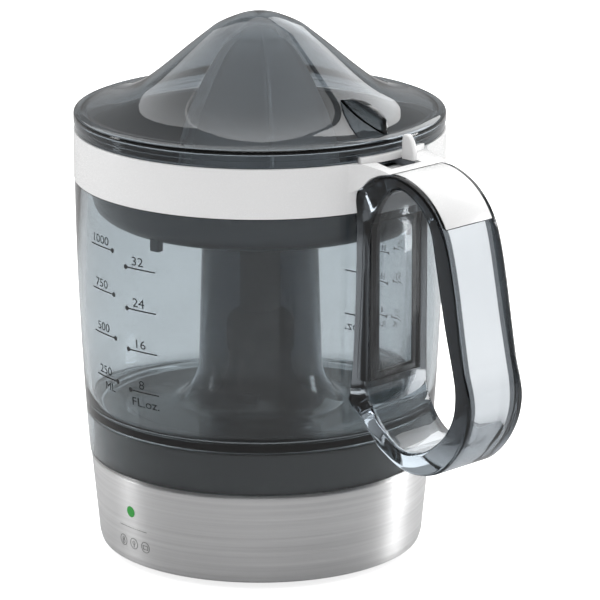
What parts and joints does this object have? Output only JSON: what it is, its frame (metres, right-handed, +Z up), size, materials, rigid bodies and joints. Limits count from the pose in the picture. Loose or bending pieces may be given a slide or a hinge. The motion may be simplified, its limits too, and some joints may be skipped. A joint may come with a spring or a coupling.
{
  "type": "citrus press juicer",
  "caption": "Electric citrus juicer: steel motor base, clear jug with loop handle, strainer with pulp lever, ribbed reamer and domed lid; pressing the reamer starts the drive.",
  "frame": {"origin": "centre of the underside, on the drive axis, at the level of the feet", "axes": "+Z up along the drive axis, +X towards the handle, -Y towards the front scale"},
  "size_m": [0.206, 0.1504, 0.222],
  "materials": {
    "clear_plastic": "clear smoke-tinted polycarbonate, polished",
    "smoke_plastic": "dark smoke-tinted clear plastic, polished",
    "white_plastic": "glossy white",
    "grey_plastic": "satin dark grey",
    "cone_plastic": "satin mid grey",
    "black_plastic": "satin black",
    "steel_shell": "brushed around the band",
    "machined_steel": "machined, plain",
    "copper_wire": "enamelled copper winding",
    "nylon": "natural nylon",
    "rubber": "matte black"
  },
  "bodies": {
    "base": {"base_deck": "black_plastic", "steel_band": "steel_shell", "bottom_cover": "black_plastic", "foot_1": "rubber", "foot_2": "rubber", "foot_3": "rubber", "foot_4": "rubber", "cover_screw_1": "machined_steel", "cover_screw_2": "machined_steel", "cover_screw_3": "machined_steel", "cover_screw_4": "machined_steel", "plate_post_1": "nylon", "plate_post_2": "nylon", "plate_post_3": "nylon", "plate_post_4": "nylon", "cord_grommet": "rubber", "chassis_plate": "machined_steel", "stator_core": "machined_steel", "coil_1": "copper_wire", "coil_2": "copper_wire", "stator_post_1": "nylon", "stator_post_2": "nylon", "stator_post_3": "nylon", "stator_post_4": "nylon", "idler_pin": "machined_steel", "lower_bush": "machined_steel", "upper_bush": "machined_steel", "switch_body": "black_plastic", "return_spring": "machined_steel"},
    "rotor": {"rotor_magnet": "black_plastic", "rotor_shaft": "machined_steel"},
    "idler": {"idler_gear": "nylon"},
    "drive": {"drive_gear": "nylon"},
    "spindle": {"spindle_shaft": "machined_steel"},
    "button": {"switch_button": "nylon"},
    "jug": {"jug_body": "clear_plastic", "jug_floor": "clear_plastic", "jug_handle": "clear_plastic", "jug_collar": "white_plastic"},
    "strainer": {"strainer_basket": "grey_plastic", "lever_guide": "white_plastic"},
    "pulp_dial": {"pulp_ring": "grey_plastic", "pulp_lever": "white_plastic"},
    "cone_seat": {"cone_bush": "grey_plastic"},
    "cone_shaft": {"cone_stem": "black_plastic"},
    "cone": {"juicing_cone": "cone_plastic", "cone_push_pin": "machined_steel"},
    "lid": {"lid_cover": "smoke_plastic"}
  },
  "joints": [
    {"name": "rotor_spin", "type": "hinge", "parent": "base", "child": "rotor", "pos_m": [-0.027, 0.024, 0], "axis": [0, 0, 1], "continuous": true},
    {"name": "idler_spin", "type": "hinge", "parent": "base", "child": "idler", "pos_m": [-0.007, 0.024, 0], "axis": [0, 0, 1], "continuous": true},
    {"name": "drive_spin", "type": "hinge", "parent": "base", "child": "drive", "pos_m": [0, 0, 0], "axis": [0, 0, 1], "continuous": true},
    {"name": "spindle_press", "type": "slide", "parent": "drive", "child": "spindle", "axis": [0, 0, 1], "range_m": [-0.0025, 0], "stiffness_N_per_m": 500, "springref_m": 0.005, "deforming": ["return_spring"]},
    {"name": "switch_press", "type": "slide", "parent": "base", "child": "button", "axis": [0, 0, 1], "range_m": [-0.0025, 0]},
    {"name": "jug_lift", "type": "slide", "parent": "base", "child": "jug", "axis": [0, 0, 1], "range_m": [0, 0.12]},
    {"name": "strainer_lift", "type": "slide", "parent": "jug", "child": "strainer", "axis": [0, 0, 1], "range_m": [0, 0.09]},
    {"name": "pulp_turn", "type": "hinge", "parent": "strainer", "child": "pulp_dial", "pos_m": [0, 0, 0], "axis": [0, 0, 1], "range_deg": [-8.5, 0]},
    {"name": "cone_lift", "type": "slide", "parent": "strainer", "child": "cone_seat", "axis": [0, 0, 1], "range_m": [0, 0.09]},
    {"name": "cone_spin", "type": "hinge", "parent": "cone_seat", "child": "cone_shaft", "pos_m": [0, 0, 0], "axis": [0, 0, 1], "continuous": true},
    {"name": "cone_press", "type": "slide", "parent": "cone_shaft", "child": "cone", "axis": [0, 0, 1], "range_m": [-0.0025, 0]},
    {"name": "lid_lift", "type": "slide", "parent": "cone_seat", "child": "lid", "axis": [0, 0, 1], "range_m": [0, 0.06]}
  ],
  "couplings": [
    {"joint": "drive_spin", "follows": "cone_spin", "ratio": 1},
    {"joint": "idler_spin", "follows": "cone_spin", "ratio": -4},
    {"joint": "rotor_spin", "follows": "cone_spin", "ratio": 16},
    {"joint": "cone_press", "follows": "spindle_press", "ratio": 1},
    {"joint": "switch_press", "follows": "spindle_press", "ratio": 1}
  ]
}
